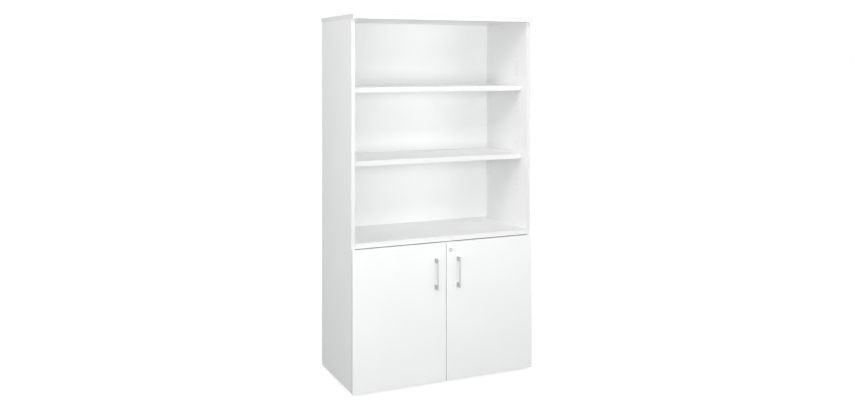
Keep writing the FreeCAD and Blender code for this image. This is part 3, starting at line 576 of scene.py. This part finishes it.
for side, name in ((-1, "left"), (1, "right")):
    facing = "+x" if side < 0 else "-x"
    door = f"{name}_door"
    plates = [
        Vector((side * PLATE_FACE, PLATE_LINE, z + dz))
        for z in HINGE_HEIGHTS for dz in both(PLATE_SCREW_OFFSET)
    ]
    screw_in(f"{name}_plate_screws", euro_head, plates, facing, "carcass")
    crown = [
        Vector((side * ARM_CROWN, PLATE_LINE - dy, z))
        for z in HINGE_HEIGHTS for dy in (0.0, ARM_SCREW_SPACING)
    ]
    screw_in(f"{name}_arm_screws", arm_head, crown, facing, "carcass", turn=0.4)
    flange = [
        Vector((side * FLANGE_SCREW_X, FLANGE_FACE, z + dz))
        for z in HINGE_HEIGHTS for dz in both(FLANGE_SCREW_OFFSET)
    ]
    screw_in(f"{name}_cup_screws", cup_head, flange, "+y", door, turn=0.2)
    backs = [Vector((side * HANDLE_X, DOOR_BACK, HANDLE_HEIGHT + dz)) for dz in both(HANDLE_SCREW_OFFSET)]
    screws = screw_in(f"{name}_handle_screw_heads", handle_head, backs, "+y", door, turn=0.5)
    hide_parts(f"{name}_handle_screws")

keeper_spots = [Vector((LOCK_X + dx, KEEPER_LINE, KEEPER_FACE)) for dx in both(KEEPER_SCREW_OFFSET)]
screw_in("keeper_screw_heads", small_head, keeper_spots, "-z", "carcass")
screw_in("cam_screw_head", arm_head, [Vector((LOCK_X, CAM_FACE, LOCK_HEIGHT))], "+y", "lock")

back_step = 2 * BACK_SCREW_REACH / (BACK_SCREW_COUNT - 1)
back_spots = [
    Vector((-BACK_SCREW_REACH + i * back_step, BACK_REAR, z))
    for z in (DIVIDER_HEIGHT, BASE_HEIGHT) for i in range(BACK_SCREW_COUNT)
]
screw_in("back_panel_screws", small_head, back_spots, "+y", "carcass")
leg_spots = [
    Vector((x + dx, line + dy, LEG_FLANGE_FACE))
    for x in both(LEG_X) for line in LEG_LINES
    for dx in both(LEG_SCREW_OFFSET) for dy in both(LEG_SCREW_OFFSET)
]
screw_in("leg_flange_screws", small_head, leg_spots, "-z", "carcass")


def bumper_mesh(radius, height):
    """A low soft dome with a rounded rim."""
    bm = bmesh.new()
    profile = [(0, 0), (radius * 0.96, 0), (radius, height * 0.2)]
    for i in range(1, 9):
        angle = math.radians(90 * i / 9)
        profile.append((radius * math.cos(angle) ** 0.7, height * (0.2 + 0.8 * math.sin(angle))))
    profile.append((0, height))
    lathe(bm, profile)
    return mesh_from(bm, "bumper_dome")


dome = bumper_mesh(BUMPER_RADIUS, BUMPER_HEIGHT)
for side, name in ((-1, "left"), (1, "right")):
    spots = [Vector((side * x, DOOR_BACK, BASE_HEIGHT)) for x in BUMPER_LINES]
    pads = seat(f"{name}_bumper_domes", dome, spots, "+y", f"{name}_door", pad_material)
    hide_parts(f"{name}_door_bumpers")

# ---------------------------------------------------------------- stage, light and camera

corners = [(x * FLOOR_REACH, y * FLOOR_REACH, 0) for x, y in ((-1, -1), (1, -1), (1, 1), (-1, 1))]
floor = bpy.data.meshes.new("floor")
floor.from_pydata(corners, [], [(0, 1, 2, 3)])
floor.materials.append(floor_material())
ground = bpy.data.objects.new("floor", floor)
bpy.context.scene.collection.objects.link(ground)


def studio_world():
    """A dim even light, seen as white by the camera and in mirrors and clear plastic."""
    world = bpy.data.worlds.new("studio")
    world.use_nodes = True
    bpy.context.scene.world = world
    tree = world.node_tree
    path = tree.nodes.new("ShaderNodeLightPath")
    seen = path.outputs["Is Camera Ray"]
    for ray in ("Is Glossy Ray", "Is Transmission Ray"):
        greatest = tree.nodes.new("ShaderNodeMath")
        greatest.operation = "MAXIMUM"
        tree.links.new(seen, greatest.inputs[0])
        tree.links.new(path.outputs[ray], greatest.inputs[1])
        seen = greatest.outputs[0]
    level = tree.nodes.new("ShaderNodeMapRange")
    tree.links.new(seen, level.inputs["Value"])
    level.inputs["To Min"].default_value = WORLD_LIGHT
    level.inputs["To Max"].default_value = WORLD_SEEN
    background = tree.nodes["Background"]
    background.inputs["Color"].default_value = (1, 1, 1, 1)
    tree.links.new(level.outputs[0], background.inputs["Strength"])


def softbox(name, place, aim, width, height, power):
    """A rectangular lamp at a place, turned towards a point."""
    light = bpy.data.lights.new(name, "AREA")
    light.shape, light.size, light.size_y, light.energy = "RECTANGLE", width, height, power
    lamp = bpy.data.objects.new(name, light)
    lamp.location = place
    lamp.rotation_euler = (Vector(aim) - Vector(place)).to_track_quat("-Z", "Y").to_euler()
    bpy.context.scene.collection.objects.link(lamp)


studio_world()
softbox("front", (-0.3, -3.2, 1.3), LAMP_AIM, 1.8, 1.2, 38.5)
softbox("front_left", (-2.4, -3.0, 1.3), LAMP_AIM, 1.6, 1.2, 27)
softbox("front_right", (2.2, -3.2, 1.3), LAMP_AIM, 1.6, 1.2, 23.5)
softbox("front_high", (-0.4, -2.4, 3.4), (0, 0, 1.0), 2.0, 1.2, 43)
softbox("left", (-3.7, -0.8, 2.4), (0, 0, 1.5), 2.0, 2.0, 70)
softbox("back_right", (2.6, 2.8, 1.7), (0.2, 0.1, 1.0), 2.0, 2.0, 90)

camera_data = bpy.data.cameras.new("camera")
camera_data.lens = LENS
camera_data.sensor_width = SENSOR_WIDTH
camera_data.shift_y = SHIFT
camera = bpy.data.objects.new("camera", camera_data)
camera.location = CAMERA_PLACE
camera.rotation_euler = (math.radians(90), 0, math.radians(CAMERA_TURN))
bpy.context.scene.collection.objects.link(camera)
bpy.context.scene.camera = camera
bpy.context.scene.view_settings.view_transform = "Standard"
